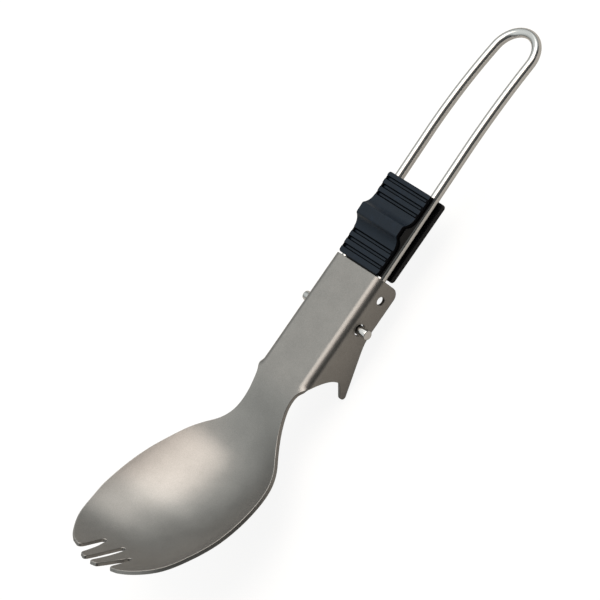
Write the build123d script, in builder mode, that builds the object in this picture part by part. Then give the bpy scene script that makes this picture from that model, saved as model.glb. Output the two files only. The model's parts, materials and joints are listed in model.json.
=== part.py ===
from build123d import *
from math import acos, asin, atan2, cos, degrees, hypot, sin
import os

# Folding spork: a pressed sheet head, a sprung wire handle that folds on its two bent-out ends,
# and a moulded grip that slides on the wire.
# +Y runs from the tines to the handle's loop, +Z out of the bowl, X across.
# The origin is the middle of the bounding box, at the height of the hook lugs' lowest point.
# Reaches are measured along Y from the pivot, drops down from the top of the web.

# Channel of the head, bent from the sheet
sheet = 1.0
web_width = 18.7
bend_radius = 2.4
web_reach = 12.65
cheek_drop = 7.6
cheek_corner_radius = 2.3
pivot_drop = 3.95
pivot_hole_diameter = 3.0
small_hole_diameter = 2.2
small_hole_reach = 8.4
small_hole_drop = 4.2

# Hook lugs below the cheeks
hook_tip_reach = 15.0
hook_tip_drop = 11.85
hook_tip_radius = 0.85
hook_break_reach = 1.6
hook_break_radius = 14.0
hook_root_reach = 13.0
hook_root_drop = 8.7
hook_root_radius = 0.6
throat_reach = 16.6
throat_drop = 3.55
throat_turn_reach = 18.6
throat_turn_drop = 1.6
throat_end_reach = 22.0

# Neck, bowl and tines
neck_reach = 22.3
ear_end_reach = 17.6
ear_end_width = 14.6
ear_reach = 18.9
ear_width = 16.5
head_reach = 80.9
bowl_width = 41.0
bowl_depth = 7.35
tip_rise = 19.1
middle_root_reach = 74.1
middle_root_width = 1.4
middle_mouth_width = 2.2
outer_root_reach = 74.95
outer_root_offset = 5.3
outer_root_width = 1.25
outer_mouth_offset = 4.3
outer_mouth_width = 3.9
tine_tip_radius = 0.75

# Wire handle
wire_diameter = 2.4
leg_spacing = 14.1
loop_width = 13.2
pin_span = 25.0
pin_chamfer = 0.25
pin_bend_radius = 1.45
knee_reach = 11.0
knee_drop = 2.4
knee_radius = 40.0
straight_reach = 48.0
straight_drop = 1.6
loop_start_reach = 74.3
loop_start_drop = 3.0

# Grip, with heights measured from the wire's middle
grip_gap = 0.7
grip_length = 22.1
grip_front_width = 16.2
grip_back_width = 17.2
plate_corner_radius = 0.4
flange_corner_radius = 0.9
rib_top = 2.7
stop_top = 4.65
stop_width = 2.9
stop_rounding = 0.3
flank_width = 3.2
skin_thickness = 1.1
skin_setback = 0.2
groove_count = 3
groove_start = 5.2
groove_pitch = 2.13
groove_width = 1.1
groove_floor_width = 0.5
post_thickness = 0.5
post_lowering = 0.1
wire_clearance = 0.12
flange_top = 2.0
flange_bottom = 3.2

# The outline takes every second row of the rim's table up to this one
rim_end_row = 13

# One overrun serves every cut
overrun = 2.0
half_turn = 180.0

# Shape of the bowl's rim, from the neck (0) to the tine tips (1). Each row holds the share of the
# way along, the half-width's share of the bowl's, the rim's height as a share of the tip's rise,
# and the hollow's depth below the rim as a share of the greatest depth.
rim_shares = [
    (0.000, 0.367, 0.000, 0.000),
    (0.058, 0.355, -0.041, 0.018),
    (0.126, 0.393, -0.091, 0.069),
    (0.195, 0.486, -0.126, 0.156),
    (0.263, 0.657, -0.104, 0.374),
    (0.331, 0.814, -0.044, 0.565),
    (0.399, 0.901, 0.034, 0.735),
    (0.468, 0.958, 0.122, 0.878),
    (0.536, 0.990, 0.213, 0.966),
    (0.604, 0.999, 0.305, 1.000),
    (0.672, 0.980, 0.400, 0.946),
    (0.741, 0.935, 0.503, 0.837),
    (0.809, 0.858, 0.602, 0.680),
    (0.877, 0.715, 0.733, 0.510),
    (0.945, 0.488, 0.869, 0.218),
    (1.022, 0.634, 1.272, 0.359),
]
# The outline across the tine tips: the share of the way along, and the half-width's share
front_shares = [
    (0.887, 0.739),
    (0.925, 0.634),
    (0.945, 0.566),
    (0.963, 0.468),
    (0.976, 0.356),
    (0.992, 0.195),
]

# Sizes that follow from the ones above
wire_radius = wire_diameter / 2
web_half = web_width / 2
inner_half = web_half - sheet
bowl_half = bowl_width / 2
pin_half = pin_span / 2
leg_offset = leg_spacing / 2
hook_drop = hook_tip_drop + hook_tip_radius

# The handle's legs run straight under the grip, then bend down and together to the loop
run_start = Vector(leg_offset, knee_reach, -knee_drop)
run_end = Vector(leg_offset, straight_reach, -straight_drop)
loop_start = Vector(loop_width / 2, loop_start_reach, -loop_start_drop)
run_way = (run_end - run_start).normalized()
droop_way = (loop_start - run_end).normalized()
loop_way = droop_way * (2 * droop_way.dot(run_way)) - run_way
loop_ahead = Vector(0, loop_way.Y, loop_way.Z).normalized()
loop_radius = loop_start.X / hypot(loop_way.Y, loop_way.Z)
loop_tip = Vector(0, loop_start.Y, loop_start.Z) + loop_ahead * (loop_radius * (1 + loop_way.X))
handle_reach = loop_tip.Y + wire_radius

# Where the pivot and the web's top stand above the origin
pivot_y = (head_reach - handle_reach) / 2
web_top = hook_drop


def placed(point):
    """A point given by offset, reach and height over the web's top, in the spork's own frame."""
    return Vector(point.X, pivot_y + point.Y, web_top + point.Z)


def mirrored(point):
    """The same point on the other side of the spork."""
    return Vector(-point.X, point.Y, point.Z)


side_plane = Plane(origin=(0, pivot_y, web_top), x_dir=(0, 1, 0), z_dir=(1, 0, 0))


def plan_plane(height):
    """A level plane at a height over the web's top."""
    return Plane(origin=(0, pivot_y, web_top + height))


def cross_plane(reach):
    """A plane square to the spork's length."""
    return Plane(origin=(0, pivot_y + reach, web_top), x_dir=(1, 0, 0), z_dir=(0, -1, 0))


def station(row):
    """Reach, half-width, rim height and depth of one row of the rim's table."""
    along_share, half_share, rise_share, depth_share = row
    reach = -neck_reach - along_share * (head_reach - neck_reach)
    return reach, half_share * bowl_half, rise_share * tip_rise, depth_share * bowl_depth


def lean_factor(index):
    """How much thicker the sheet is in a cut square to Y, where its middle line leans."""
    before_reach, _, before_rim, before_depth = station(rim_shares[index - 1])
    after_reach, _, after_rim, after_depth = station(rim_shares[min(index + 1, len(rim_shares) - 1)])
    run = after_reach - before_reach
    rise = (after_rim - after_depth) - (before_rim - before_depth)
    return hypot(run, rise) / abs(run)


def flat_section():
    """The sheet's section at the neck's start, where it is still flat."""
    with BuildSketch(cross_plane(-neck_reach)) as section:
        with Locations((0, -sheet / 2)):
            Rectangle(2 * (bowl_half + overrun), sheet)
    return section.sketch


def hollow_section(index):
    """The sheet's section at a row of the table: two arcs about one centre."""
    reach, half, rim_height, depth = station(rim_shares[index])
    inner_radius = (half**2 + depth**2) / (2 * depth)
    outer_radius = inner_radius + sheet * lean_factor(index)
    bottom = rim_height - depth
    centre = bottom + inner_radius
    swing = asin((bowl_half + overrun) / inner_radius)
    inner_end = Vector(inner_radius * sin(swing), centre - inner_radius * cos(swing))
    outer_end = Vector(outer_radius * sin(swing), centre - outer_radius * cos(swing))
    with BuildSketch(cross_plane(reach)) as section:
        with BuildLine():
            ThreePointArc(mirrored(inner_end), (0, bottom), inner_end)
            Line(inner_end, outer_end)
            ThreePointArc(outer_end, (0, centre - outer_radius), mirrored(outer_end))
            Line(mirrored(outer_end), mirrored(inner_end))
        make_face()
    return section.sketch


def rim_point(row):
    """The outline's point at a row, out to the lower edge of the sheet where the rim leans."""
    reach, half, _, depth = station(row)
    return half + sheet * sin(2 * atan2(depth, half)), reach


def outline_points():
    """Points of the blank's outline on the +X side, from the ear to the tine tips."""
    ear = [(ear_end_width / 2, -ear_end_reach), (ear_width / 2, -ear_reach)]
    rim = [rim_point(row) for row in rim_shares[:2] + rim_shares[2:rim_end_row:2]]
    front = [(half * bowl_half, -neck_reach - along * (head_reach - neck_reach)) for along, half in front_shares]
    return ear + rim + front


def slot_shape(root_reach, root_offset, root_width, mouth_offset, mouth_width):
    """One slot between two tines, a round root that widens to its mouth."""
    root = Vector(root_offset, -root_reach)
    mouth = Vector(mouth_offset, -head_reach - overrun)
    way = (root - mouth).normalized()
    root_side = Vector(root_width / 2, 0)
    mouth_side = Vector(mouth_width / 2, 0)
    with BuildSketch() as slot:
        with BuildLine():
            Line(mouth + mouth_side, root + root_side)
            ThreePointArc(root + root_side, root + way * (root_width / 2), root - root_side)
            Line(root - root_side, mouth - mouth_side)
            Line(mouth - mouth_side, mouth + mouth_side)
        make_face()
    return slot.sketch


# The sheet's outline seen from above, with its tines
with BuildPart() as blank:
    with BuildSketch(plan_plane(-hook_drop)) as blank_outline:
        near_points = outline_points()
        far_points = [(-offset, reach) for offset, reach in reversed(near_points)]
        with BuildLine():
            edge = Spline(*near_points, (0, -head_reach), *far_points)
            Line(edge @ 1, edge @ 0)
        make_face()
        middle_slot = slot_shape(middle_root_reach, 0, middle_root_width, 0, middle_mouth_width)
        outer_slot = slot_shape(
            outer_root_reach, outer_root_offset, outer_root_width, outer_mouth_offset, outer_mouth_width
        )
        add([middle_slot, outer_slot, outer_slot.mirror(Plane.YZ)], mode=Mode.SUBTRACT)
        tip_corners = blank_outline.vertices().filter_by_position(
            Axis.Y, -head_reach - overrun, -head_reach + overrun
        )
        fillet(tip_corners, tine_tip_radius)
    extrude(amount=hook_drop + tip_rise + overrun)

# The pressed hollow from neck to tines, and the flat of the neck behind it, whose edges stand out
# in two small ears beside the cheeks' bends
with BuildPart() as bowl:
    loft([flat_section()] + [hollow_section(index) for index in range(1, len(rim_shares))])
    with BuildSketch(plan_plane(0)):
        with Locations((0, -(neck_reach + ear_end_reach) / 2)):
            Rectangle(web_width, neck_reach - ear_end_reach)
    extrude(amount=-sheet)
    add(blank.part, mode=Mode.INTERSECT)

# The cheeks' outline, whose hook ends in an arc between two tangent lines
hook_tip = Vector(-hook_tip_reach, -hook_tip_drop)
hook_break = Vector(-hook_break_reach, -cheek_drop)
hook_root = Vector(-hook_root_reach, -hook_root_drop)
throat_turn = Vector(-throat_turn_reach, -throat_turn_drop)


def hook_tangent(start, side):
    """Where a line from start touches the hook's round tip, on the side given as 1 or -1."""
    reach = start - hook_tip
    angle = atan2(reach.Y, reach.X) + side * acos(hook_tip_radius / reach.length)
    return hook_tip + Vector(cos(angle), sin(angle)) * hook_tip_radius


with BuildPart() as spork_head:
    with BuildSketch(cross_plane(-throat_end_reach)) as channel_section:
        with Locations((0, -hook_drop)):
            Rectangle(web_width, 2 * hook_drop)
        fillet(channel_section.vertices().group_by(Axis.Y)[-1], bend_radius)
        with BuildSketch(mode=Mode.PRIVATE) as channel_space:
            with Locations((0, -sheet - hook_drop)):
                Rectangle(2 * inner_half, 2 * hook_drop)
            fillet(channel_space.vertices().group_by(Axis.Y)[-1], bend_radius - sheet)
        add(channel_space.sketch, mode=Mode.SUBTRACT)
    extrude(amount=-(throat_end_reach + web_reach))
    with BuildSketch(side_plane) as cheek_outline:
        with BuildLine():
            Line((-throat_end_reach, overrun), (web_reach, overrun))
            Line((web_reach, overrun), (web_reach, -cheek_drop))
            Line((web_reach, -cheek_drop), hook_break)
            Line(hook_break, hook_tangent(hook_break, -1))
            ThreePointArc(
                hook_tangent(hook_break, -1), hook_tip - Vector(hook_tip_radius, 0), hook_tangent(hook_root, 1)
            )
            Line(hook_tangent(hook_root, 1), hook_root)
            throat = ThreePointArc(hook_root, (-throat_reach, -throat_drop), throat_turn)
            TangentArc(throat_turn, (-throat_end_reach, 0), tangent=throat % 1)
            Line((-throat_end_reach, 0), (-throat_end_reach, overrun))
        make_face()
        fillet(cheek_outline.vertices().sort_by_distance((web_reach, -cheek_drop))[0], cheek_corner_radius)
        fillet(cheek_outline.vertices().sort_by_distance(hook_break)[0], hook_break_radius)
        fillet(cheek_outline.vertices().sort_by_distance(hook_root)[0], hook_root_radius)
    extrude(amount=web_half + overrun, both=True, mode=Mode.INTERSECT)
    with BuildSketch(side_plane):
        with Locations((0, -pivot_drop)):
            Circle(pivot_hole_diameter / 2)
        with Locations((small_hole_reach, -small_hole_drop)):
            Circle(small_hole_diameter / 2)
    extrude(amount=web_half + overrun, both=True, mode=Mode.SUBTRACT)
    add(bowl.part)
spork_head.part.label = "spork_head"

# The handle's wire, from one pin end round the loop to the other
with BuildPart() as wire_handle:
    with BuildLine() as wire_path:
        leg = FilletPolyline(
            placed(Vector(pin_half, 0, -pivot_drop)),
            placed(Vector(leg_offset, 0, -pivot_drop)),
            placed(run_start),
            placed(run_end),
            radius=[pin_bend_radius, knee_radius],
        )
        droop = TangentArc(placed(run_end), placed(loop_start), tangent=run_way)
        ThreePointArc(placed(loop_start), placed(loop_tip), mirrored(placed(loop_start)))
        mirror(objects=[leg, droop], about=Plane.YZ)
    with BuildSketch(Plane(origin=placed(Vector(pin_half, 0, -pivot_drop)), z_dir=(-1, 0, 0))):
        Circle(wire_radius)
    sweep(path=wire_path.wires()[0])
    pin_ends = wire_handle.faces().filter_by(Axis.X)
    chamfer(pin_ends.edges(), pin_chamfer)
wire_handle.part.label = "wire_handle"

# The grip's middle on the wire, and its sizes across and along
grip_half = grip_length / 2
grip_start = run_start + run_way * ((web_reach + grip_gap - knee_reach) / run_way.Y)
grip_middle = placed(Vector(0, grip_start.Y, grip_start.Z) + run_way * grip_half)
grip_up = Vector(0, -run_way.Z, run_way.Y)
grip_side = Plane(origin=grip_middle, x_dir=run_way, z_dir=(1, 0, 0))
stop_half = stop_width / 2
flank_end = stop_half + flank_width
under_plate = wire_radius + wire_clearance
groove_reaches = [groove_start + groove_pitch * count for count in range(groove_count)]
groove_places = [(side * reach, rib_top) for reach in groove_reaches for side in (-1, 1)]
groove_angle = degrees(atan2(skin_thickness, (groove_width - groove_floor_width) / 2))
groove_align = (Align.CENTER, Align.MIN)


def grip_level(height):
    """A plane along the grip, at a height over the wire's middle."""
    return Plane(origin=grip_middle + grip_up * height, x_dir=(1, 0, 0), z_dir=grip_up)


def grip_plan(height, inset, corner_radius):
    """The grip's outline seen from above, a little wider at the back."""
    front = grip_front_width / 2 - inset
    back = grip_back_width / 2 - inset
    with BuildSketch(grip_level(height)) as plan:
        with BuildLine():
            Polyline(
                (-front, -grip_half), (front, -grip_half), (back, grip_half), (-back, grip_half), close=True
            )
        make_face()
        if corner_radius:
            fillet(plan.vertices(), corner_radius)
    return plan.sketch


def grip_profile(lowering):
    """The grip's top seen from the side, with hollow flanks up to the thumb stop."""
    low = rib_top - lowering
    high = stop_top - lowering
    with BuildSketch(grip_side) as profile:
        with BuildLine():
            Line((-grip_half, under_plate), (-grip_half, low))
            Line((-grip_half, low), (-flank_end, low))
            TangentArc((-flank_end, low), (-stop_half, high), tangent=(1, 0))
            Line((-stop_half, high), (stop_half, high))
            TangentArc((flank_end, low), (stop_half, high), tangent=(-1, 0))
            Line((flank_end, low), (grip_half, low))
            Line((grip_half, low), (grip_half, under_plate))
            Line((grip_half, under_plate), (-grip_half, under_plate))
        make_face()
        fillet(profile.vertices().group_by(Axis.Y)[-1], stop_rounding)
    return profile.sketch


with BuildPart() as grip_core:
    extrude(grip_profile(skin_thickness), amount=grip_back_width, both=True)
    extrude(grip_plan(under_plate, 0, plate_corner_radius), amount=stop_top, mode=Mode.INTERSECT)

# The ribbed skin stands on the core, set back a little at its sides
with BuildPart() as grip_skin:
    extrude(grip_profile(0), amount=grip_back_width, both=True)
    with BuildSketch(grip_side):
        with Locations(*groove_places):
            Trapezoid(groove_width, skin_thickness, groove_angle, rotation=half_turn, align=groove_align)
    extrude(amount=grip_back_width, both=True, mode=Mode.SUBTRACT)
    extrude(grip_plan(under_plate, skin_setback, plate_corner_radius), amount=stop_top, mode=Mode.INTERSECT)

# A thin wall closes each groove's two ends
with BuildPart() as groove_ends:
    extrude(grip_profile(post_lowering), amount=grip_back_width, both=True)
    extrude(grip_plan(under_plate, skin_setback, plate_corner_radius), amount=stop_top, mode=Mode.INTERSECT)
    extrude(grip_plan(under_plate, skin_setback + post_thickness, 0), amount=stop_top, mode=Mode.SUBTRACT)

# The whole grip, with its spine between the legs and its flange below them
with BuildPart() as grip_slider:
    add(grip_core.part)
    add(grip_skin.part)
    add(groove_ends.part)
    with BuildSketch(grip_level(-flange_top)):
        RectangleRounded(2 * (leg_offset - under_plate), grip_length, plate_corner_radius)
    extrude(amount=flange_top + under_plate)
    extrude(grip_plan(-flange_bottom, 0, flange_corner_radius), amount=flange_bottom - flange_top)
grip_slider.part.label = "grip_slider"

os.makedirs("parts", exist_ok=True)
export_step(spork_head.part, "parts/spork_head.step")
export_step(wire_handle.part, "parts/wire_handle.step")
export_step(grip_slider.part, "parts/grip_slider.step")
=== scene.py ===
"""A folding spork's looks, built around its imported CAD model: the pressed sheet head with its bowl
and tines, the bent wire handle, the sliding grip and the stage that they are seen on."""

import json
import math

import bmesh
import bpy
import numpy as np
from bpy.props import FloatProperty, FloatVectorProperty, IntProperty, PointerProperty
from mathutils import Euler, Matrix, Quaternion, Vector


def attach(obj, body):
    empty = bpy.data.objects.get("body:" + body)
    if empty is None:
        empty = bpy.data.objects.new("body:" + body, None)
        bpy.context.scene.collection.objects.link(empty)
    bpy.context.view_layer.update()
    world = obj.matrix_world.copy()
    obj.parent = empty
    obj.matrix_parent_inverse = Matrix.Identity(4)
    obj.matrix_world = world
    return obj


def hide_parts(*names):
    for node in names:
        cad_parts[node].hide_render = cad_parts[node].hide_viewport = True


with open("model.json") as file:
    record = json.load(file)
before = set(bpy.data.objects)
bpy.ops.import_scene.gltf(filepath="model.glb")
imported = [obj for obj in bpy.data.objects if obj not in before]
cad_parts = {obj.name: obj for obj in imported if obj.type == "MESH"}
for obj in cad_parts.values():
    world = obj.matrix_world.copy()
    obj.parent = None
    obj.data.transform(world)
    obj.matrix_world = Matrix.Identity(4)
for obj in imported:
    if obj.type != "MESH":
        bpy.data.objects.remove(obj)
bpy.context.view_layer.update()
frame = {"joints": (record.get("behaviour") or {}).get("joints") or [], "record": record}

bl_info = {
    "name": "Folding spork",
    "version": (1, 0, 0),
    "blender": (4, 5, 0),
    "location": "3D View > Sidebar > Spork",
    "description": "Builds the head, wire handle, grip and stage of a folding spork around its CAD model",
    "category": "Mesh",
}

# Lengths in the tables and outlines below are in millimetres: across from the middle, along Y from
# the pivot and up from the top of the web. The meshes are made in metres.
MM = 0.001
PIVOT = Vector(next(joint["pos_m"] for joint in frame["joints"] if joint["name"] == "handle_fold"))
WEB_TOP = next(mount["pos_m"][2] for mount in frame["record"]["mounts"] if mount["name"] == "web_top")
ORIGIN = Vector((PIVOT.x, PIVOT.y, WEB_TOP))
PIVOT_DROP = (WEB_TOP - PIVOT.z) / MM

# Places this near count as one: welded verts, ends of outlines and cuts, and lines of the grip
WELD, NEAR, ON_LINE = 1e-5, 1e-4, 0.01

# The hollow of the head along Y: height of its middle line, and how strongly it curves across
MIDDLE_REACHES = [-81, -79, -76, -72, -66, -60, -54, -49, -44, -40, -36, -32, -28, -24, -21, -18]
MIDDLE_HEIGHTS = [19.75, 16.85, 12.95, 8.45, 3.65, -0.35, -2.94, -4.26, -5.06, -5.0,
                  -4.19, -3.03, -1.68, -0.45, -0.03, 0.0]
CURVE_REACHES = [-82, -74, -66, -58, -50, -42, -37, -33, -29, -25, -21]
CURVE_VALUES = [0.031, 0.031, 0.0306, 0.031, 0.0302, 0.029, 0.0272, 0.0222, 0.0145, 0.004, 0.0]

# A curve weaker than this counts as flat
LEAST_CURVE = 1e-6

# The channel: half of its flat web, the radius of its bends, and where it fades into the neck
FLAT_HALF, BEND = 6.95, 2.4
FADE_START, FADE_END = -17.6, -20.8
# On the sheet laid out flat: where a bend ends, and the place from which a cheek's drop counts
BEND_END = FLAT_HALF + BEND * math.pi / 2
DROP_START = BEND_END - BEND

# Half of the sheet's outline, laid out flat: across, along, and the radius that rounds the corner.
# The across values in the first table are seen from above, in the second measured on the sheet.
TINE_CORNERS = [
    (0.72, -73.42, 0.70), (0.92, -75.4, 2.0), (1.0, -76.7, 3.0), (0.97, -80.12, 0.62),
    (3.22, -79.66, 0.66), (4.05, -76.4, 5.0), (4.62, -75.2, 1.0), (4.7, -74.35, 0.6),
    (5.96, -74.35, 0.6), (6.1, -76.2, 4.0), (6.14, -78.74, 0.85),
]
RIM_POINTS = [
    (8.9, -78.14), (10.9, -77.18), (12.78, -75.9), (14.65, -74.25), (16.25, -72.35), (17.45, -70.2),
    (18.35, -68.0), (19.06, -66.0), (19.66, -64.0), (20.06, -62.0), (20.33, -60.0), (20.46, -58.0),
    (20.45, -56.0), (20.08, -52.0), (19.2, -48.0), (17.82, -44.0), (16.86, -42.0), (15.52, -40.0),
    (13.77, -38.0), (11.77, -36.0), (10.16, -34.0), (8.96, -32.0), (8.14, -30.0), (7.6, -28.0),
    (7.3, -26.0), (7.29, -24.0), (7.5, -22.4), (7.85, -21.2),
]
THROAT_POINTS = [
    (8.45, -20.2), (9.2, -19.2), (10.26, -17.62), (11.28, -16.39), (12.73, -14.98), (14.84, -13.51),
    (16.07, -13.08),
]
# The cheek below the throat as seen from the side: reach, drop and the corner's radius
CHEEK_CORNERS = [
    (-13.0, 8.66, 0.45), (-18.47, 14.06, 0.85), (-1.6, 7.6, 14.0), (12.65, 7.6, 2.3),
]
REAR_REACH = 12.65
# Reach, drop and radius of the two holes in each cheek
HOLES = [(0.0, PIVOT_DROP, 1.5), (8.4, 4.2, 1.1)]

# The head's mesh on the sheet laid out flat: the steps on the bends and along the channel, how far past
# a bend its steps end and the plain cells start, and where the columns and rows end
BEND_STEP, CHANNEL_STEP, BEND_MARGIN, CELL_MARGIN = 0.2, 2.0, 0.4, 0.5
SHEET_REACH, BOWL_ROWS, CHANNEL_ROWS = 24.0, (-80.5, -17.5), (-16.0, 12.0)
HOLE_SIDES, RIM_STEPS = 44, 4

# The wire's middle line on the +X side, across, along and up, and the radii of its pin and knee
LEG_OFFSET, PIN_HALF = 7.05, 12.5
KNEE = (LEG_OFFSET, 11.0, -2.4)
RUN_END = (LEG_OFFSET, 48.0, -1.6)
LOOP_START = (6.6, 74.3, -3.0)
PIN_BEND, KNEE_BEND = 1.45, 40.0
# The wire's mesh: steps around its cut ends, the length of those along its tight and wide arcs, and how
# far aside a target may lie of a straight run
END_STEPS, TIGHT_STEP, WIDE_STEP, STRAIGHT = 3, 0.25, 0.8, 1e-3

# The grip: along, across and up from the wire's middle
GRIP_HALF, GRIP_GAP, NOSE = 11.05, 0.7, 0.3
FRONT_HALF, BACK_HALF = 8.1, 8.6
# The skin's ribs and thumb stop, the core under it, and the grooves between the ribs
RIB_TOP, STOP_TOP, STOP_HALF, FLANK, FLANK_STEPS = 2.7, 4.65, 1.45, 3.2, 10
SKIN, SKIN_SETBACK, SKIN_SEAT, UNDER_PLATE = 1.15, 0.38, 0.05, 1.32
GROOVES, GROOVE_HALF, GROOVE_FLOOR_HALF, GROOVE_DEPTH = (5.2, 7.33, 9.46), 0.5, 0.26, 0.55
POST, POST_SETBACK, POST_DROP = 0.5, 0.06, 0.12
STOP_ROUND, END_ROUND, ROUND_STEPS, SOFT_STEPS = 0.34, 0.7, 4, 2
# The spine between the legs, its tongue towards the web, and the flange below the legs
SPINE_HALF, SPINE_SEAT, SPINE_CORNER = 5.73, 0.1, 0.3
TONGUE, TONGUE_ROOT, TONGUE_TOP, TONGUE_BOTTOM = 1.5, 1.0, 1.02, 1.5
FLANGE_TOP, FLANGE_BOTTOM, FLANGE_CORNER = 2.0, 3.2, 0.9
# Edges that turn by more degrees than these are softened or shaded as sharp
SOFTENED, GRIP_SHARP, WIRE_SHARP = 30, 60, 50
# A face looks along an axis from this share of its normal, and bevels leave slivers up to this size
FACING, SLIVER = 0.6, 0.003
# Material slots of the grip: the skin, the core, and near-black painted shade on the skin's sides, the
# grooves' walls and the posts at the grooves' ends
SKIN_FINISH, CORE_FINISH, PAINTED_SHADE_FINISH = 0, 1, 2

# The lamp over the spork, in metres and radians
LAMP_WIDTH, LAMP_LENGTH, LAMP_TURN = 1.0, 1.06, -0.24
LAMP_PLACE, LAMP_AIM = (-0.03, 0.32, 0.94), (0, -0.11, 0.04)

# The floor in metres, and how bright its white is to the camera
FLOOR_HALF, FLOOR_DROP, FLOOR_GLOW = 4.0, 0.0002, 1.25

# The room's light by direction, from -1 to 1: where it dims towards the camera's side, where the far
# wall starts and is full along and up, the height of full light, and the white band at the horizon
DIMMING, FAR_ALONG, FAR_UP = (-0.05, 0.38), (0.4, 0.7), (0.28, 0.68)
FULL_HEIGHT, HORIZON_BAND = 0.75, 0.04
# The rays on which gloss and glass show the room and the floor
MIRRORS = ("Is Glossy Ray", "Is Transmission Ray")

# The camera: its place in millimetres, its turn in degrees, and its lens and sensor in millimetres
CAMERA_PLACE, CAMERA_TURN = (851.807, -23.0818, 832.5715), (31.04651, 35.78061, 44.42639)
CAMERA_LENS, CAMERA_SENSOR, CAMERA_CLIP = 302.83, 36.0, 20.0


class SmoothCurve:
    """A natural cubic curve through a table of values."""

    def __init__(self, places, values):
        self.places, self.values = np.array(places, float), np.array(values, float)
        steps, count = np.diff(self.places), len(places)
        left, right = np.eye(count), np.zeros_like(self.values)
        for i in range(1, count - 1):
            left[i, i - 1:i + 2] = steps[i - 1], 2 * (steps[i - 1] + steps[i]), steps[i]
            right[i] = 6 * ((self.values[i + 1] - self.values[i]) / steps[i]
                            - (self.values[i] - self.values[i - 1]) / steps[i - 1])
        self.bends = np.linalg.solve(left, right)

    def at(self, place):
        i = int(np.clip(np.searchsorted(self.places, place) - 1, 0, len(self.places) - 2))
        step = self.places[i + 1] - self.places[i]
        after, before = place - self.places[i], self.places[i + 1] - place
        bend = (self.bends[i] * before**3 + self.bends[i + 1] * after**3) / (6 * step)
        start = (self.values[i] / step - self.bends[i] * step / 6) * before
        return bend + start + (self.values[i + 1] / step - self.bends[i + 1] * step / 6) * after


middle_height = SmoothCurve(MIDDLE_REACHES, MIDDLE_HEIGHTS)
cross_curve = SmoothCurve(CURVE_REACHES, CURVE_VALUES)


def cross_bend(along):
    """How strongly the sheet curves across at a place along it."""
    return max(cross_curve.at(along), LEAST_CURVE) if along < CURVE_REACHES[-1] else LEAST_CURVE


def sheet_point(across, along):
    """The point of the pressed sheet's top at a place on the sheet laid out flat."""
    side, out = math.copysign(1, across), abs(across)
    turn = min(max((out - FLAT_HALF) / BEND, 0), math.pi / 2)
    straight = max(out - BEND_END, 0)
    channel = Vector((min(out, FLAT_HALF) + BEND * math.sin(turn), BEND * (math.cos(turn) - 1) - straight))
    curve = cross_bend(along)
    bowl = Vector((math.sin(out * curve) / curve, (1 - math.cos(out * curve)) / curve))
    fade = min(max((along - FADE_START) / (FADE_END - FADE_START), 0), 1)
    place = channel.lerp(bowl, fade * fade * (3 - 2 * fade))
    height = middle_height.at(along) if along < MIDDLE_REACHES[-1] else 0
    return Vector((side * place.x, along, place.y + height))


def sheet_frame(across, along):
    """The sheet's directions at a place: across, along and out of its top."""
    step = 0.02
    right = (sheet_point(across + step, along) - sheet_point(across - step, along)).normalized()
    ahead = (sheet_point(across, along + step) - sheet_point(across, along - step)).normalized()
    return right, ahead, right.cross(ahead).normalized()


def laid_out(across, along):
    """Where a point seen from above lies on the sheet laid out flat."""
    curve = cross_bend(along)
    return math.asin(across * curve) / curve, along


def rounded(corners, step=0.16):
    """A line's points, with an arc at each corner that has a radius, as each corner of a closed line has."""
    made = []
    for i, (x, y, radius) in enumerate(corners):
        corner = Vector((x, y))
        if not radius:
            made.append(corner)
            continue
        before = (Vector(corners[i - 1][:2]) - corner).normalized()
        after = (Vector(corners[(i + 1) % len(corners)][:2]) - corner).normalized()
        half = before.angle(after) / 2
        centre = corner + (before + after).normalized() * (radius / math.sin(half))
        start = corner + before * (radius / math.tan(half)) - centre
        end = corner + after * (radius / math.tan(half)) - centre
        swing = start.angle_signed(end)
        count = max(2, math.ceil(abs(swing) * radius / step))
        made += [centre + Matrix.Rotation(-swing * k / count, 2) @ start for k in range(count + 1)]
    return made


def smooth_line(points, step=0.35):
    """Points along a smooth curve through the given ones."""
    runs = np.cumsum([0] + [math.dist(a, b) for a, b in zip(points, points[1:])])
    curve = [SmoothCurve(runs, [p[axis] for p in points]) for axis in (0, 1)]
    places = np.linspace(0, runs[-1], round(runs[-1] / step) + 1)
    return [Vector((curve[0].at(place), curve[1].at(place))) for place in places]


def half_outline():
    """The sheet's outline laid out flat on the +X side, from between the tines to the rear."""
    tines = [(*laid_out(x, y), radius) for x, y, radius in TINE_CORNERS]
    rim = smooth_line([laid_out(x, y) for x, y in RIM_POINTS] + THROAT_POINTS)
    cheek = [(DROP_START + drop, reach, radius) for reach, drop, radius in CHEEK_CORNERS]
    across_slot = (-tines[0][0], tines[0][1], 0)
    front = rounded([across_slot, *tines, (*rim[0], 0)])[1:-1]
    rear = rounded([(*rim[-1], 0), *cheek, (0, REAR_REACH, 0)])[1:-1]
    return front + rim + rear


def new_piece(name, mesh_maker, body, node, material):
    """Makes a piece from a bmesh, that stands for a CAD node and rides on its body."""
    mesh = bpy.data.meshes.new(name)
    mesh_maker.to_mesh(mesh)
    mesh_maker.free()
    piece = bpy.data.objects.new(name, mesh)
    bpy.context.scene.collection.objects.link(piece)
    mesh.polygons.foreach_set("use_smooth", [True] * len(mesh.polygons))
    mesh.materials.append(material)
    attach(piece, body)
    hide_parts(node)
    return piece


def extruded(mesh_maker, edges):
    """Extrudes open edges in place, and returns the new edges and verts."""
    made = bmesh.ops.extrude_edge_only(mesh_maker, edges=edges)["geom"]
    verts = [part for part in made if isinstance(part, bmesh.types.BMVert)]
    return [part for part in made if isinstance(part, bmesh.types.BMEdge)], verts


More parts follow.
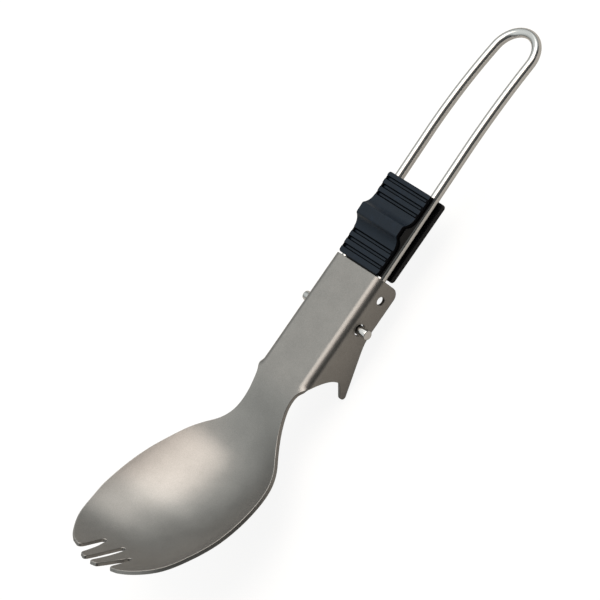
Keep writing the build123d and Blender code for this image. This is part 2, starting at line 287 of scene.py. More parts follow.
class Reading:
    """A node's output, which adds a Math node wherever it stands in a sum."""

    def __init__(self, finish, socket):
        self.finish, self.socket = finish, socket

    def maths(self, operation, *values):
        return self.finish.node("ShaderNodeMath", {"operation": operation}, dict(enumerate(values)))

    def __add__(self, other):
        return self.maths("ADD", self, other)

    def __sub__(self, other):
        return self.maths("SUBTRACT", self, other)

    def __rsub__(self, other):
        return self.maths("SUBTRACT", other, self)

    def __mul__(self, other):
        return self.maths("MULTIPLY", self, other)

    def __abs__(self):
        return self.maths("ABSOLUTE", self)

    __radd__, __rmul__ = __add__, __mul__

    def most(self, other):
        """The larger of two readings."""
        return self.maths("MAXIMUM", self, other)

    def between(self, low, high):
        """0 below low, 1 above high, and smooth between them."""
        settings = {"interpolation_type": "SMOOTHSTEP"}
        values = {"Value": self, "From Min": low, "From Max": high}
        return self.finish.node("ShaderNodeMapRange", settings, values)

    def output(self, key):
        """Another output of the same node."""
        return Reading(self.finish, self.socket.node.outputs[key])


class Finish:
    """A node tree that is written as plain calls."""

    def __init__(self, owner):
        owner.use_nodes = True
        self.tree = owner.node_tree
        self.tree.nodes.clear()

    def node(self, kind, settings=None, values=None, output=0):
        """Adds a node with its settings, then the values or links of its sockets, and reads an output."""
        made = self.tree.nodes.new(kind)
        for key, value in (settings or {}).items():
            setattr(made, key, value)
        for key, value in (values or {}).items():
            if isinstance(value, Reading):
                self.tree.links.new(value.socket, made.inputs[key])
            else:
                made.inputs[key].default_value = value
        return Reading(self, made.outputs[output]) if made.outputs else None

    def noise(self, place, scale, detail=2.0, roughness=0.5):
        values = {"Vector": place, "Scale": scale, "Detail": detail, "Roughness": roughness}
        return self.node("ShaderNodeTexNoise", {}, values, "Fac")

    def stretched(self, place, scale):
        """The place with each axis scaled by its own factor."""
        return self.node("ShaderNodeMapping", {}, {"Vector": place, "Scale": scale})

    def colours(self, share, first, second):
        """A colour between two, by a share from 0 to 1."""
        return self.node("ShaderNodeMix", {"data_type": "RGBA"}, {0: share, 6: first, 7: second}, 2)

    def place(self):
        return self.node("ShaderNodeTexCoord", output="Object")

    def bump(self, height, strength, distance, normal=None):
        values = {"Height": height, "Strength": strength, "Distance": distance}
        if normal:
            values["Normal"] = normal
        return self.node("ShaderNodeBump", {}, values)

    def surface(self, **values):
        """The Principled shader, whose sockets are named with underscores, on the output."""
        named = {key.replace("_", " "): value for key, value in values.items()}
        shader = self.node("ShaderNodeBsdfPrincipled", {}, named)
        self.node("ShaderNodeOutputMaterial", {}, {"Surface": shader})


def rgba(colour, factor=1.0):
    return (*[part * factor for part in colour], 1.0)


def titanium_finish(settings):
    """Blasted titanium: a fine even grain, with faint cloudy marks from pressing and handling."""
    material = bpy.data.materials.new("blasted_titanium")
    finish = Finish(material)
    place = finish.place()
    grain = finish.noise(place, scale=2 / settings.grain_size, detail=3.0, roughness=0.6)
    cloud = finish.noise(place, scale=190.0, detail=4.0, roughness=0.6)
    smear = finish.noise(finish.stretched(place, (900.0, 140.0, 900.0)), scale=1.0, detail=3.0)
    cloud_share, grain_share, uneven = 0.3, 0.7, 0.06
    share = cloud.between(0.3, 0.7) * cloud_share + grain.between(0.25, 0.75) * grain_share
    colour = finish.colours(
        share, rgba(settings.colour, factor=0.86), rgba(settings.colour, factor=1.12))
    roughness = (cloud - 0.5) * uneven + (smear - 0.5) * uneven + settings.roughness
    waves = finish.bump(cloud, strength=0.09, distance=0.2 * MM)
    normal = finish.bump(grain, strength=settings.grain_strength, distance=0.04 * MM, normal=waves)
    finish.surface(Base_Color=colour, Metallic=1.0, Roughness=roughness, Normal=normal)
    return material


def steel_finish(settings):
    """Drawn stainless wire: bright, with fine lines along it."""
    material = bpy.data.materials.new("drawn_steel")
    finish = Finish(material)
    place = finish.place()
    lines = finish.noise(finish.stretched(place, (6000.0, 120.0, 6000.0)), scale=1.0, detail=2.0)
    marks = finish.noise(place, scale=450.0, detail=3.0)
    colour = finish.colours(
        marks, rgba(settings.colour, factor=0.94), rgba(settings.colour, factor=1.04))
    line_share, mark_share = 0.02, 0.04
    smoothest = settings.roughness - (line_share + mark_share) / 2
    roughness = lines * line_share + marks * mark_share + smoothest
    normal = finish.bump(marks, strength=0.02, distance=0.06 * MM)
    finish.surface(Base_Color=colour, Metallic=1.0, Roughness=roughness, Normal=normal)
    return material


def grip_finish(name, settings, tint, shade):
    """Moulded black plastic, satin with a fine pebble. Shade is 1 for the painted shade on the skin's sides,
    the grooves' walls and the posts at the grooves' ends, which then reflect little.
    """
    material = bpy.data.materials.new(name)
    finish = Finish(material)
    place = finish.place()
    pebble = finish.noise(place, scale=5200.0, detail=2.0)
    cloud = finish.noise(place, scale=420.0, detail=3.0)
    across = finish.node("ShaderNodeSeparateXYZ", {}, {0: place})
    seam = 1 - abs(across).between(0.03 * MM, 0.11 * MM)
    haze_share, seam_share, uneven = 0.25, 0.5, 0.12
    light = cloud.between(0.5, 0.85) * haze_share + seam * cloud * seam_share
    colour = finish.colours(light, rgba(tint), rgba(tint, factor=3.0))
    roughness = (cloud - 0.5) * uneven + settings.roughness
    normal = finish.bump(pebble, strength=0.16, distance=0.04 * MM)
    finish.surface(
        Base_Color=colour, Metallic=shade, Roughness=roughness, Normal=normal, Specular_IOR_Level=0.2)
    return material


class HeadSettings(bpy.types.PropertyGroup):
    sheet: FloatProperty(
        name="Sheet", description="Thickness of the pressed sheet", default=1.0 * MM, unit="LENGTH")
    edge_round: FloatProperty(
        name="Edge rounding", description="Radius that breaks the sheet's cut edges",
        default=0.16 * MM, unit="LENGTH")
    cell: FloatProperty(
        name="Cell", description="Width of the mesh's cells on the bowl", default=0.75 * MM, unit="LENGTH")
    colour: FloatVectorProperty(
        name="Titanium", description="Colour of the blasted sheet", subtype="COLOR", size=3,
        default=(0.28, 0.266, 0.25), min=0, max=1)
    roughness: FloatProperty(
        name="Roughness", description="How matt the sheet is", default=0.37, min=0, max=1, subtype="FACTOR")
    grain_size: FloatProperty(
        name="Grain", description="Width of the blasted grain", default=0.42 * MM, unit="LENGTH")
    grain_strength: FloatProperty(
        name="Grain strength", description="How deep the grain looks", default=0.35, min=0, max=1,
        subtype="FACTOR")


class WireSettings(bpy.types.PropertyGroup):
    diameter: FloatProperty(
        name="Wire", description="Diameter of the wire", default=2.4 * MM, unit="LENGTH")
    end_round: FloatProperty(
        name="End rounding", description="How far the cut ends are broken",
        default=0.25 * MM, unit="LENGTH")
    sides: IntProperty(name="Sides", description="Faces round the wire", default=40, min=12)
    colour: FloatVectorProperty(
        name="Steel", description="Colour of the wire", subtype="COLOR", size=3,
        default=(0.60, 0.585, 0.565), min=0, max=1)
    roughness: FloatProperty(
        name="Roughness", description="How matt the wire is", default=0.16, min=0, max=1, subtype="FACTOR")


class GripSettings(bpy.types.PropertyGroup):
    softness: FloatProperty(
        name="Edge softness", description="Radius of the moulding's edges",
        default=0.09 * MM, unit="LENGTH")
    skin_colour: FloatVectorProperty(
        name="Skin", description="Colour of the top skin", subtype="COLOR", size=3,
        default=(0.003, 0.008, 0.016), min=0, max=1)
    core_colour: FloatVectorProperty(
        name="Core", description="Colour of the core and the flange", subtype="COLOR", size=3,
        default=(0.006, 0.006, 0.007), min=0, max=1)
    # Painted shade: the near-black colour given to the skin's sides, the grooves' walls and the posts at the
    # grooves' ends
    painted_shade_colour: FloatVectorProperty(
        name="Recess", description="Colour of the grooves' walls and the ribs' ends", subtype="COLOR",
        size=3, default=(0.003, 0.003, 0.004), min=0, max=1)
    roughness: FloatProperty(
        name="Roughness", description="How matt the grip is", default=0.36, min=0, max=1, subtype="FACTOR")


class StageSettings(bpy.types.PropertyGroup):
    floor_colour: FloatVectorProperty(
        name="Floor", description="Colour of the floor", subtype="COLOR", size=3,
        default=(0.5, 0.475, 0.44), min=0, max=1)
    floor_white: FloatProperty(
        name="Floor whiteness", description="How far the floor is plain white to the camera", default=0.72,
        min=0, max=1, subtype="FACTOR")
    floor_mirrored: FloatProperty(
        name="Mirrored whiteness", description="How far the floor is plain white in reflections",
        default=0.08, min=0, max=1, subtype="FACTOR")
    key_power: FloatProperty(
        name="Overhead lamp", description="Power of the wide lamp overhead in watts", default=7.2,
        unit="POWER")
    lamp_colour: FloatVectorProperty(
        name="Lamp colour", description="Colour of the overhead lamp", subtype="COLOR", size=3,
        default=(1.0, 0.9, 0.83), min=0, max=1)
    room_colour: FloatVectorProperty(
        name="Room colour", description="Colour of the room's light", subtype="COLOR", size=3,
        default=(0.94, 1.0, 1.0), min=0, max=1)
    bright_side: FloatProperty(
        name="Bright side", description="Level of the room's light behind the spork", default=1.0, min=0)
    dark_side: FloatProperty(
        name="Dark side", description="Level of the room's light on the camera's side", default=0.14, min=0)
    far_wall: FloatProperty(
        name="Far wall", description="Added level of the room's light beyond the handle", default=0.9,
        min=0)
    horizon_share: FloatProperty(
        name="Horizon", description="Share of the room's light that is left at the horizon", default=0.26,
        min=0, max=1, subtype="FACTOR")


def grid_places(low, high, step):
    """The multiples of a step between two places."""
    return np.arange(math.ceil(low / step), math.floor(high / step) + 1) * step


def cell_places(cell):
    """Where the flat sheet is cut across and along."""
    bends = grid_places(FLAT_HALF - BEND_MARGIN, BEND_END + BEND_MARGIN, BEND_STEP)
    right = np.concatenate([
        grid_places(0, FLAT_HALF - CELL_MARGIN, cell), bends,
        grid_places(BEND_END + CELL_MARGIN, SHEET_REACH, cell)])
    columns = np.unique(np.round(np.concatenate([-right, right]), 5))
    return columns, np.concatenate([grid_places(*BOWL_ROWS, cell), grid_places(*CHANNEL_ROWS, CHANNEL_STEP)])


def cut_cells(sheet_mesh, columns, rows):
    """Cuts the flat sheet into cells, and takes out the edges that the cells don't need."""
    for places, direction in ((columns, Vector((1, 0, 0))), (rows, Vector((0, 1, 0)))):
        for place in places:
            geometry = sheet_mesh.verts[:] + sheet_mesh.edges[:] + sheet_mesh.faces[:]
            bmesh.ops.bisect_plane(
                sheet_mesh, geom=geometry, dist=WELD, plane_co=direction * place, plane_no=direction)
    spare = []
    for edge in sheet_mesh.edges:
        first, second = (vert.co for vert in edge.verts)
        on_column = abs(first.x - second.x) < NEAR and np.abs(columns - first.x).min() < NEAR
        on_row = abs(first.y - second.y) < NEAR and np.abs(rows - first.y).min() < NEAR
        if not (edge.is_boundary or on_column or on_row):
            spare.append(edge)
    bmesh.ops.dissolve_edges(sheet_mesh, edges=spare, use_verts=False)
    loose = [vert for vert in sheet_mesh.verts if len(vert.link_edges) == 2 and not vert.is_boundary]
    bmesh.ops.dissolve_verts(sheet_mesh, verts=loose)


def rim_directions(edges):
    """The way out of the sheet at each vert on its rim, in the plane of the sheet."""
    out = {}
    for edge in edges:
        loop = edge.link_loops[0]
        run = loop.link_loop_next.vert.co - loop.vert.co
        for vert in edge.verts:
            out[vert] = out.get(vert, Vector()) + Vector((run.y, -run.x, 0)).normalized()
    return {vert: way.normalized() for vert, way in out.items()}


def flat_blank():
    """The sheet as it is blanked from flat stock: one filled outline with its holes."""
    blank = bmesh.new()
    blank.verts.layers.float_vector.new("lean")
    half = half_outline()
    outline = half + [Vector((-point.x, point.y)) for point in reversed(half)]
    for reach, drop, radius in HOLES:
        for side in (1, -1):
            spot = Matrix.Translation((side * (DROP_START + drop), reach, 0))
            bmesh.ops.create_circle(blank, segments=HOLE_SIDES, radius=radius, matrix=spot)
    verts = [blank.verts.new((*point, 0)) for point in outline]
    for first, second in zip(verts, verts[1:] + verts[:1]):
        blank.edges.new((first, second))
    bmesh.ops.remove_doubles(blank, verts=blank.verts[:], dist=NEAR)
    bmesh.ops.triangle_fill(blank, use_beauty=True, edges=blank.edges[:], normal=(0, 0, 1))
    bmesh.ops.recalc_face_normals(blank, faces=blank.faces[:])
    if blank.faces[0].normal.z < 0:
        bmesh.ops.reverse_faces(blank, faces=blank.faces[:])
    return blank


def rim_edges(sheet_mesh):
    """The open edges around the sheet and its holes."""
    return [edge for edge in sheet_mesh.edges if edge.is_boundary]


def add_underside(sheet_mesh, sheet):
    """Adds the sheet's lower face. The layer lean keeps the way in which each vert's surface looks."""
    lean = sheet_mesh.verts.layers.float_vector["lean"]
    for vert in sheet_mesh.verts:
        vert[lean] = Vector((0, 0, 1))
    geometry = sheet_mesh.verts[:] + sheet_mesh.edges[:] + sheet_mesh.faces[:]
    made = bmesh.ops.duplicate(sheet_mesh, geom=geometry)["geom"]
    under = [part for part in made if isinstance(part, bmesh.types.BMFace)]
    for vert in {vert for face in under for vert in face.verts}:
        vert.co.z = -sheet
        vert[lean] = Vector((0, 0, -1))
    bmesh.ops.reverse_faces(sheet_mesh, faces=under)


def round_rim(sheet_mesh, rim, sheet, edge_round):
    """Carries the top's rim down to the underside, with a rounded edge above and below."""
    lean = sheet_mesh.verts.layers.float_vector["lean"]
    turns = [math.pi / 2 * k / RIM_STEPS for k in range(RIM_STEPS + 1)]
    profile = [(turn, edge_round * (math.cos(turn) - 1)) for turn in turns[1:]]
    for turn in reversed(turns):
        profile.append((math.pi - turn, -sheet - edge_round * (math.cos(turn) - 1)))
    roots = {vert: (way, vert.co.copy()) for vert, way in rim_directions(rim).items()}
    for turn, height in profile:
        rim, raised = extruded(sheet_mesh, rim)
        moved = {}
        for vert in raised:
            neighbours = [edge.other_vert(vert) for edge in vert.link_edges]
            moved[vert] = next(roots[other] for other in neighbours if other in roots)
            way, start = moved[vert]
            vert.co = start + way * (edge_round * math.sin(turn)) + Vector((0, 0, height))
            vert[lean] = way * math.sin(turn) + Vector((0, 0, math.cos(turn)))
        roots = moved


def press(sheet_mesh):
    """Presses the flat sheet into its shape, and turns each vert's lean with it."""
    lean = sheet_mesh.verts.layers.float_vector["lean"]
    for vert in sheet_mesh.verts:
        across, along, depth = vert.co
        right, ahead, up = sheet_frame(across, along)
        way = vert[lean]
        vert.co = (sheet_point(across, along) + up * depth) * MM + ORIGIN
        vert[lean] = (right * way.x + ahead * way.y + up * way.z).normalized()


def lean_normals(mesh):
    """Shades the mesh by its layer lean, and takes the layer off."""
    stored = np.zeros(len(mesh.vertices) * 3, np.float32)
    mesh.attributes["lean"].data.foreach_get("vector", stored)
    mesh.attributes.remove(mesh.attributes["lean"])
    mesh.normals_split_custom_set_from_vertices(stored.reshape(-1, 3).tolist())


class SPORK_OT_head(bpy.types.Operator):
    """Builds the pressed sheet head: channel, neck, bowl, tines and hooks"""

    bl_idname = "spork.head"
    bl_label = "Build the head"

    def execute(self, context):
        settings = context.scene.spork_head
        sheet, edge_round, cell = settings.sheet / MM, settings.edge_round / MM, settings.cell / MM
        blank = flat_blank()
        for vert, way in rim_directions(rim_edges(blank)).items():
            vert.co -= way * edge_round
        cut_cells(blank, *cell_places(cell))
        rim = rim_edges(blank)
        add_underside(blank, sheet)
        round_rim(blank, rim, sheet, edge_round)
        bmesh.ops.remove_doubles(blank, verts=blank.verts[:], dist=WELD)
        press(blank)
        piece = new_piece(
            "spork_sheet", blank, "head", "spork_head", titanium_finish(settings))
        lean_normals(piece.data)
        return {"FINISHED"}


def bend_to(wire_mesh, ring, place, way, target, step):
    """Spins the ring's edges along the arc that leaves place in the direction way and ends at target, or
    carries them straight there. Returns the new ring with its place and way."""
    chord = target - place
    side = chord - way * chord.dot(way)
    if side.length < STRAIGHT:
        edges, verts = extruded(wire_mesh, ring)
        bmesh.ops.translate(wire_mesh, verts=verts, vec=chord)
        return edges, target, way
    inward = side.normalized()
    radius = chord.length_squared / (2 * chord.dot(inward))
    turn = 2 * math.atan2(chord.dot(inward), chord.dot(way))
    count = max(4, math.ceil(radius * turn / step))
    axis = way.cross(inward)
    made = bmesh.ops.spin(
        wire_mesh, geom=ring, cent=place + inward * radius, axis=axis, angle=turn, steps=count,
        use_merge=False, use_duplicate=False)["geom_last"]
    edges = [part for part in made if isinstance(part, bmesh.types.BMEdge)]
    return edges, target, Matrix.Rotation(turn, 3, axis) @ way


def rounded_end(wire_mesh, radius, end_round, sides):
    """Starts the wire at its +X end with a cap and a rounded edge, and returns its open ring."""
    facing = Matrix.Translation((PIN_HALF, 0, -PIVOT_DROP)) @ Matrix.Rotation(math.pi / 2, 4, "Y")
    cap = bmesh.ops.create_circle(
        wire_mesh, cap_ends=True, segments=sides, radius=radius - end_round, matrix=facing)["verts"]
    ring = [edge for edge in wire_mesh.edges if edge.verts[0] in cap]
    for part in range(1, END_STEPS + 1):
        turn = math.pi / 2 * part / END_STEPS
        ring, verts = extruded(wire_mesh, ring)
        place = PIN_HALF - end_round * (1 - math.cos(turn))
        wide = radius - end_round * (1 - math.sin(turn))
        for vert in verts:
            out = Vector((0, vert.co.y, vert.co.z + PIVOT_DROP)).normalized() * wide
            vert.co = Vector((place, out.y, out.z - PIVOT_DROP))
    return ring


def wire_targets(inward):
    """Where each straight run and arc of the wire's middle line ends, from a pin to the loop's tip, and
    the length of its steps."""
    leg = Vector((LEG_OFFSET, 0, -PIVOT_DROP))
    knee, run_end, loop_start = Vector(KNEE), Vector(RUN_END), Vector(LOOP_START)
    first_way = (knee - leg).normalized()
    run_way = (run_end - knee).normalized()
    pin_turn = PIN_BEND * math.tan(inward.angle(first_way) / 2)
    knee_turn = KNEE_BEND * math.tan(first_way.angle(run_way) / 2)
    droop_way = (loop_start - run_end).normalized()
    loop_way = droop_way * (2 * droop_way.dot(run_way)) - run_way
    ahead = Vector((0, loop_way.y, loop_way.z)).normalized()
    loop_radius = loop_start.x / math.hypot(loop_way.y, loop_way.z)
    loop_tip = Vector((0, loop_start.y, loop_start.z)) + ahead * (loop_radius * (1 + loop_way.x))
    tight = [leg - inward * pin_turn, leg + first_way * pin_turn]
    wide = [knee - first_way * knee_turn, knee + run_way * knee_turn, run_end, loop_start, loop_tip]
    return [(target, TIGHT_STEP) for target in tight] + [(target, WIDE_STEP) for target in wide]


class SPORK_OT_wire(bpy.types.Operator):
    """Builds the wire handle, from its two bent-out ends to its loop"""

    bl_idname = "spork.wire"
    bl_label = "Build the wire handle"

    def execute(self, context):
        settings = context.scene.spork_wire
        radius, end_round = settings.diameter / 2 / MM, settings.end_round / MM
        wire = bmesh.new()
        ring = rounded_end(wire, radius, end_round, settings.sides)
        inward = Vector((-1, 0, 0))
        place, way = Vector((PIN_HALF - end_round, 0, -PIVOT_DROP)), inward
        for target, step in wire_targets(inward):
            ring, place, way = bend_to(wire, ring, place, way, target, step)
        for vert in {vert for edge in ring for vert in edge.verts}:
            vert.co.x = 0
        bmesh.ops.remove_doubles(wire, verts=wire.verts[:], dist=WELD)
        bmesh.ops.mirror(wire, geom=wire.verts[:] + wire.edges[:] + wire.faces[:], axis="X", merge_dist=NEAR)
        bmesh.ops.remove_doubles(wire, verts=wire.verts[:], dist=WELD)
        bmesh.ops.recalc_face_normals(wire, faces=wire.faces[:])
        for vert in wire.verts:
            vert.co = vert.co * MM + ORIGIN
        piece = new_piece("bent_wire", wire, "handle", "wire_handle", steel_finish(settings))
        piece.data.set_sharp_from_angle(angle=math.radians(WIRE_SHARP))
        return {"FINISHED"}


def grip_shape(maker, outline, axis, low, high):
    """Stands a closed outline up into a solid between two places on an axis, and returns its faces."""
    others = [part for part in range(3) if part != axis]
    verts = []
    for point in outline:
        place = Vector((0, 0, 0))
        place[axis], place[others[0]], place[others[1]] = low, point[0], point[1]
        verts.append(maker.verts.new(place))
    before = set(maker.faces)
    face = maker.faces.new(verts)
    made = bmesh.ops.extrude_face_region(maker, geom=[face])["geom"]
    way = Vector((0, 0, 0))
    way[axis] = high - low
    bmesh.ops.translate(maker, verts=[p for p in made if isinstance(p, bmesh.types.BMVert)], vec=way)
    faces = [face for face in maker.faces if face not in before]
    bmesh.ops.recalc_face_normals(maker, faces=faces)
    return faces


def soften(maker, edges, offset, segments):
    """Rounds edges of a solid."""
    bmesh.ops.bevel(
        maker, geom=edges, offset=offset, offset_type="OFFSET", segments=segments, profile=0.5,
        affect="EDGES", clamp_overlap=False, material=-1)


def sharp_edges(faces):
    """The edges of these faces that turn sharply."""
    edges = {edge for face in faces for edge in face.edges}
    return [edge for edge in edges if len(edge.link_faces) == 2
            and edge.calc_face_angle() > math.radians(SOFTENED)]


def grip_top(lowering, grooved):
    """The grip's top seen from the side, from the front to the back."""
    low, high = RIB_TOP - lowering, STOP_TOP - lowering
    radius = (FLANK**2 + (high - low)**2) / (2 * (high - low))
    swing = 2 * math.atan2(high - low, FLANK)
    line = [(GRIP_HALF, low)]
    if grooved:
        for place in reversed(GROOVES):
            line += [(place + GROOVE_HALF, low), (place + GROOVE_FLOOR_HALF, low - GROOVE_DEPTH),
                     (place - GROOVE_FLOOR_HALF, low - GROOVE_DEPTH), (place - GROOVE_HALF, low)]
        # The innermost groove ends at the foot of the stop's flank, which is the next point
        line.pop()
    for k in range(FLANK_STEPS + 1):
        turn = swing * k / FLANK_STEPS
        line.append((STOP_HALF + FLANK - radius * math.sin(turn), low + radius * (1 - math.cos(turn))))
    line = [(-y, z) for y, z in line] + line[::-1]
    line[0] = (line[0][0] - NOSE, line[0][1])
    return line


def grip_half_width(along):
    """Half of the grip's width at a place along it."""
    return FRONT_HALF + (BACK_HALF - FRONT_HALF) * (along + GRIP_HALF) / (2 * GRIP_HALF)


def takes_painted_shade(face):
    """Whether a face of the skin is its side or a wall of a groove, where painted shade goes."""
    middle = face.calc_center_median()
    in_groove = abs(middle.y) < GROOVES[-1] + GROOVE_HALF and RIB_TOP - GROOVE_DEPTH < middle.z < RIB_TOP
    return abs(face.normal.x) > FACING or (in_groove and abs(face.normal.y) > FACING)


def plate_faces(grip, skin):
    """The faces made so far of the skin, or those of the core."""
    return [face for face in grip.faces if skin == (face.material_index != CORE_FINISH)]


def stop_corners(faces, crest):
    """The edges that run across the thumb stop at the front and the back of its crest."""
    corners = []
    for edge in sharp_edges(faces):
        first, second = (vert.co for vert in edge.verts)
        at_crest = abs(abs(first.y) - STOP_HALF) < ON_LINE and abs(first.z - crest) < ON_LINE
        if at_crest and abs(first.y - second.y) < ON_LINE:
            corners.append(edge)
    return corners


def end_corners(faces):
    """The upright edges at the ends of a plate that is thick enough to round them."""
    corners = []
    for edge in sharp_edges(faces):
        first, second = (vert.co for vert in edge.verts)
        if abs(first.y) > GRIP_HALF - ON_LINE and abs(first.z - second.z) > END_ROUND / 2:
            corners.append(edge)
    return corners


def grip_plate(grip, finish, softness):
    """The core, or the ribbed skin that covers it, under one side profile."""
    skin = finish == SKIN_FINISH
    lowering, inset, under = (0, SKIN_SETBACK, RIB_TOP - SKIN - SKIN_SEAT) if skin else (SKIN, 0, UNDER_PLATE)
    bottom = [(GRIP_HALF, under), (-GRIP_HALF - NOSE, under)]
    faces = grip_shape(grip, grip_top(lowering, skin) + bottom, 0, -1, 1)
    for vert in {vert for face in faces for vert in face.verts}:
        vert.co.x *= grip_half_width(vert.co.y) - inset
    for face in faces:
        face.normal_update()
        # Painted shade: the skin's sides and the grooves' walls take the near-black finish
        face.material_index = PAINTED_SHADE_FINISH if skin and takes_painted_shade(face) else finish
    soften(grip, stop_corners(faces, STOP_TOP - lowering), STOP_ROUND, ROUND_STEPS)
    soften(grip, end_corners(plate_faces(grip, skin)), END_ROUND, ROUND_STEPS)
    soften(grip, sharp_edges(plate_faces(grip, skin)), softness, SOFT_STEPS)


def groove_ends(grip):
    """Closes the ends of the grooves with short walls, which carry painted shade."""
    for side in (1, -1):
        for place in GROOVES:
            for reach in (place, -place):
                front, back = reach - GROOVE_HALF, reach + GROOVE_HALF
                outer = side * (grip_half_width(reach) - SKIN_SETBACK - POST_SETBACK)
                inner = outer - side * POST
                post = [(outer, front), (outer, back), (inner, back), (inner, front)]
                for face in grip_shape(grip, post, 2, UNDER_PLATE, RIB_TOP - POST_DROP):
                    # The posts take the near-black painted shade finish
                    face.material_index = PAINTED_SHADE_FINISH


def grip_underparts(grip, softness):
    """The spine between the legs, its tongue towards the web, and the flange below the legs."""
    spine = [(-SPINE_HALF, -GRIP_HALF), (SPINE_HALF, -GRIP_HALF), (SPINE_HALF, GRIP_HALF),
             (-SPINE_HALF, GRIP_HALF)]
    tongue = [(x, -GRIP_HALF - TONGUE if y < 0 else -GRIP_HALF + TONGUE_ROOT) for x, y in spine]
    flange = [(-FRONT_HALF, -GRIP_HALF), (FRONT_HALF, -GRIP_HALF), (BACK_HALF, GRIP_HALF),
              (-BACK_HALF, GRIP_HALF)]
    for outline, low, high, radius in (
        (spine, -FLANGE_TOP - SPINE_SEAT, UNDER_PLATE + SPINE_SEAT, SPINE_CORNER),
        (tongue, -TONGUE_BOTTOM, TONGUE_TOP, SPINE_CORNER),
        (flange, -FLANGE_BOTTOM, -FLANGE_TOP, FLANGE_CORNER),
    ):
        faces = grip_shape(grip, rounded([(x, y, radius) for x, y in outline]), 2, low, high)
        for face in faces:
            face.material_index = CORE_FINISH
        soften(grip, sharp_edges(faces), softness, SOFT_STEPS)


def grip_at_rest():
    """The turn and the place that set the grip on the wire's straight run, near the web."""
    knee, run_end = Vector(KNEE), Vector(RUN_END)
    way = (run_end - knee).normalized()
    start = knee + way * ((REAR_REACH + GRIP_GAP - knee.y) / way.y)
    middle = Vector((0, start.y, start.z)) + way * GRIP_HALF
    turn = Matrix.Rotation(math.asin(way.z), 4, "X")
    return Matrix.Translation(ORIGIN) @ Matrix.Scale(MM, 4) @ Matrix.Translation(middle) @ turn


class SPORK_OT_grip(bpy.types.Operator):
    """Builds the sliding grip: ribbed skin, core, spine and flange"""

    bl_idname = "spork.grip"
    bl_label = "Build the grip"

    def execute(self, context):
        settings = context.scene.spork_grip
        softness = settings.softness / MM
        grip = bmesh.new()
        grip_plate(grip, CORE_FINISH, softness)
        grip_plate(grip, SKIN_FINISH, softness)
        groove_ends(grip)
        grip_underparts(grip, softness)
        bmesh.ops.dissolve_degenerate(grip, dist=SLIVER, edges=grip.edges[:])
        bmesh.ops.remove_doubles(grip, verts=grip.verts[:], dist=SLIVER)
        bmesh.ops.transform(grip, verts=grip.verts[:], matrix=grip_at_rest())
        piece = new_piece("grip_moulding", grip, "grip", "grip_slider", grip_finish(
            "grip_skin", settings, settings.skin_colour, 0.0))
        piece.data.materials.append(grip_finish("grip_core", settings, settings.core_colour, 0.0))
        # The third slot is near-black painted shade, fully metallic so that it reflects little
        piece.data.materials.append(grip_finish("grip_painted_shade", settings, settings.painted_shade_colour, 1.0))
        piece.data.set_sharp_from_angle(angle=math.radians(GRIP_SHARP))
        even = piece.modifiers.new("even_shading", "WEIGHTED_NORMAL")
        even.keep_sharp = True
        return {"FINISHED"}


def floor_finish(settings):
    """A pale floor, which shows mostly plain white to the camera and keeps the spork's shadow."""
    material = bpy.data.materials.new("pale_floor")
    finish = Finish(material)
    rays = finish.node("ShaderNodeLightPath")
    seen = rays.output("Is Camera Ray") * settings.floor_white
    for name in MIRRORS:
        seen = seen.most(rays.output(name) * settings.floor_mirrored)
    lit = finish.node("ShaderNodeBsdfDiffuse", {}, {"Color": rgba(settings.floor_colour)})
    white = finish.node("ShaderNodeEmission", {}, {"Color": (1, 1, 1, 1), "Strength": FLOOR_GLOW})
    shown = finish.node("ShaderNodeMixShader", {}, {0: seen, 1: lit, 2: white})
    finish.node("ShaderNodeOutputMaterial", {}, {"Surface": shown})
    return material


def lay_floor(scene, settings):
    floor_mesh = bmesh.new()
    bmesh.ops.create_grid(floor_mesh, x_segments=1, y_segments=1, size=FLOOR_HALF)
    bmesh.ops.translate(floor_mesh, verts=floor_mesh.verts[:], vec=(0, 0, -FLOOR_DROP))
    mesh = bpy.data.meshes.new("floor")
    floor_mesh.to_mesh(mesh)
    floor_mesh.free()
    mesh.materials.append(floor_finish(settings))
    floor = bpy.data.objects.new("floor", mesh)
    scene.collection.objects.link(floor)


def light_room(scene, settings):
    """Lights the room by direction. The camera sees it white, and gloss sees a white band at its horizon."""
    world = bpy.data.worlds.new("studio")
    scene.world = world
    finish = Finish(world)
    place = finish.node("ShaderNodeTexCoord", output="Generated")
    across = finish.node("ShaderNodeSeparateXYZ", {}, {0: place})
    along, height = across.output(1), across.output(2)
    dimmed = across.between(*DIMMING)
    behind = along.between(*FAR_ALONG) * height.between(*FAR_UP) * settings.far_wall
    lift = height.between(0, FULL_HEIGHT) * (1 - settings.horizon_share) + settings.horizon_share + behind
    level = (dimmed * (settings.dark_side - settings.bright_side) + settings.bright_side) * lift
    horizon = 1 - height.between(0, HORIZON_BAND)
    rays = finish.node("ShaderNodeLightPath")
    seen = rays.output("Is Camera Ray")
    for name in MIRRORS:
        seen = seen.most(rays.output(name) * horizon)
    room = finish.node("ShaderNodeBackground", {}, {"Color": rgba(settings.room_colour), "Strength": level})
    white = finish.node("ShaderNodeBackground", {}, {"Color": (1, 1, 1, 1), "Strength": 1.0})
    shown = finish.node("ShaderNodeMixShader", {}, {0: seen, 1: room, 2: white})
    finish.node("ShaderNodeOutputWorld", {}, {"Surface": shown})


def hang_lamp(scene, settings):
    lamp = bpy.data.lights.new("overhead_lamp", "AREA")
    lamp.shape, lamp.size, lamp.size_y = "RECTANGLE", LAMP_WIDTH, LAMP_LENGTH
    lamp.energy, lamp.color = settings.key_power, settings.lamp_colour
    holder = bpy.data.objects.new("overhead_lamp", lamp)
    holder.location = LAMP_PLACE
    holder.rotation_mode = "QUATERNION"
    way = (Vector(LAMP_AIM) - Vector(LAMP_PLACE)).to_track_quat("-Z", "Y")
    holder.rotation_quaternion = way @ Quaternion((0, 0, 1), LAMP_TURN)
    scene.collection.objects.link(holder)


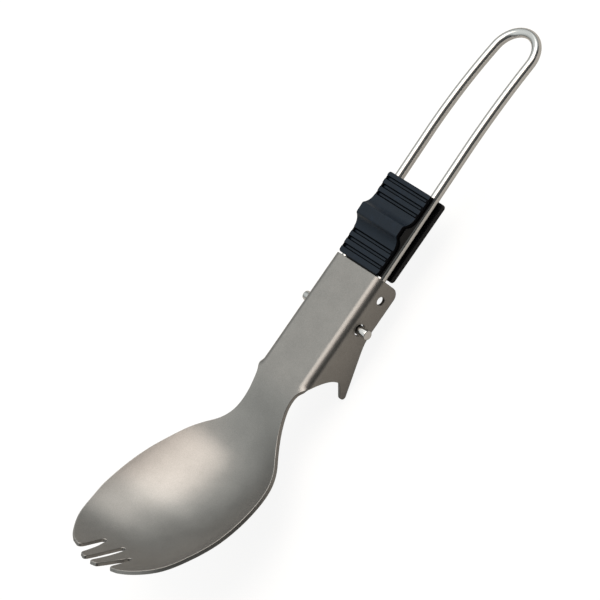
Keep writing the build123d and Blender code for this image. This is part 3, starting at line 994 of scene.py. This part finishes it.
def set_camera(scene):
    camera_data = bpy.data.cameras.new("camera")
    camera_data.lens, camera_data.sensor_width = CAMERA_LENS, CAMERA_SENSOR
    camera_data.clip_end = CAMERA_CLIP
    camera = bpy.data.objects.new("camera", camera_data)
    turn = Euler([math.radians(part) for part in CAMERA_TURN])
    camera.matrix_world = Matrix.LocRotScale(Vector(CAMERA_PLACE) * MM + ORIGIN, turn, None)
    scene.collection.objects.link(camera)
    scene.camera = camera


class SPORK_OT_stage(bpy.types.Operator):
    """Sets the floor, the room's light, the lamp and the camera"""

    bl_idname = "spork.stage"
    bl_label = "Set the stage"

    def execute(self, context):
        scene = context.scene
        settings = scene.spork_stage
        lay_floor(scene, settings)
        light_room(scene, settings)
        hang_lamp(scene, settings)
        set_camera(scene)
        scene.view_settings.view_transform = "Standard"
        return {"FINISHED"}


class SPORK_PT_build(bpy.types.Panel):
    """Lists the spork's pieces with their sizes and colours"""

    bl_label = "Folding spork"
    bl_space_type = "VIEW_3D"
    bl_region_type = "UI"
    bl_category = "Spork"

    def draw(self, context):
        for operator, group in PARTS.items():
            box = self.layout.box()
            settings = getattr(context.scene, group)
            for key in settings.bl_rna.properties.keys():
                if key not in ("rna_type", "name"):
                    box.prop(settings, key)
            box.operator(operator)


PARTS = {
    "spork.head": "spork_head", "spork.wire": "spork_wire", "spork.grip": "spork_grip",
    "spork.stage": "spork_stage",
}
GROUPS = {
    "spork_head": HeadSettings, "spork_wire": WireSettings, "spork_grip": GripSettings,
    "spork_stage": StageSettings,
}
CLASSES = [*GROUPS.values(), SPORK_OT_head, SPORK_OT_wire, SPORK_OT_grip, SPORK_OT_stage, SPORK_PT_build]


def register():
    for made in CLASSES:
        bpy.utils.register_class(made)
    for name, group in GROUPS.items():
        setattr(bpy.types.Scene, name, PointerProperty(type=group))


def unregister():
    for name in GROUPS:
        delattr(bpy.types.Scene, name)
    for made in reversed(CLASSES):
        bpy.utils.unregister_class(made)


def main():
    register()
    for name in PARTS:
        group, action = name.split(".")
        getattr(getattr(bpy.ops, group), action)()


if __name__ == "__main__":
    main()
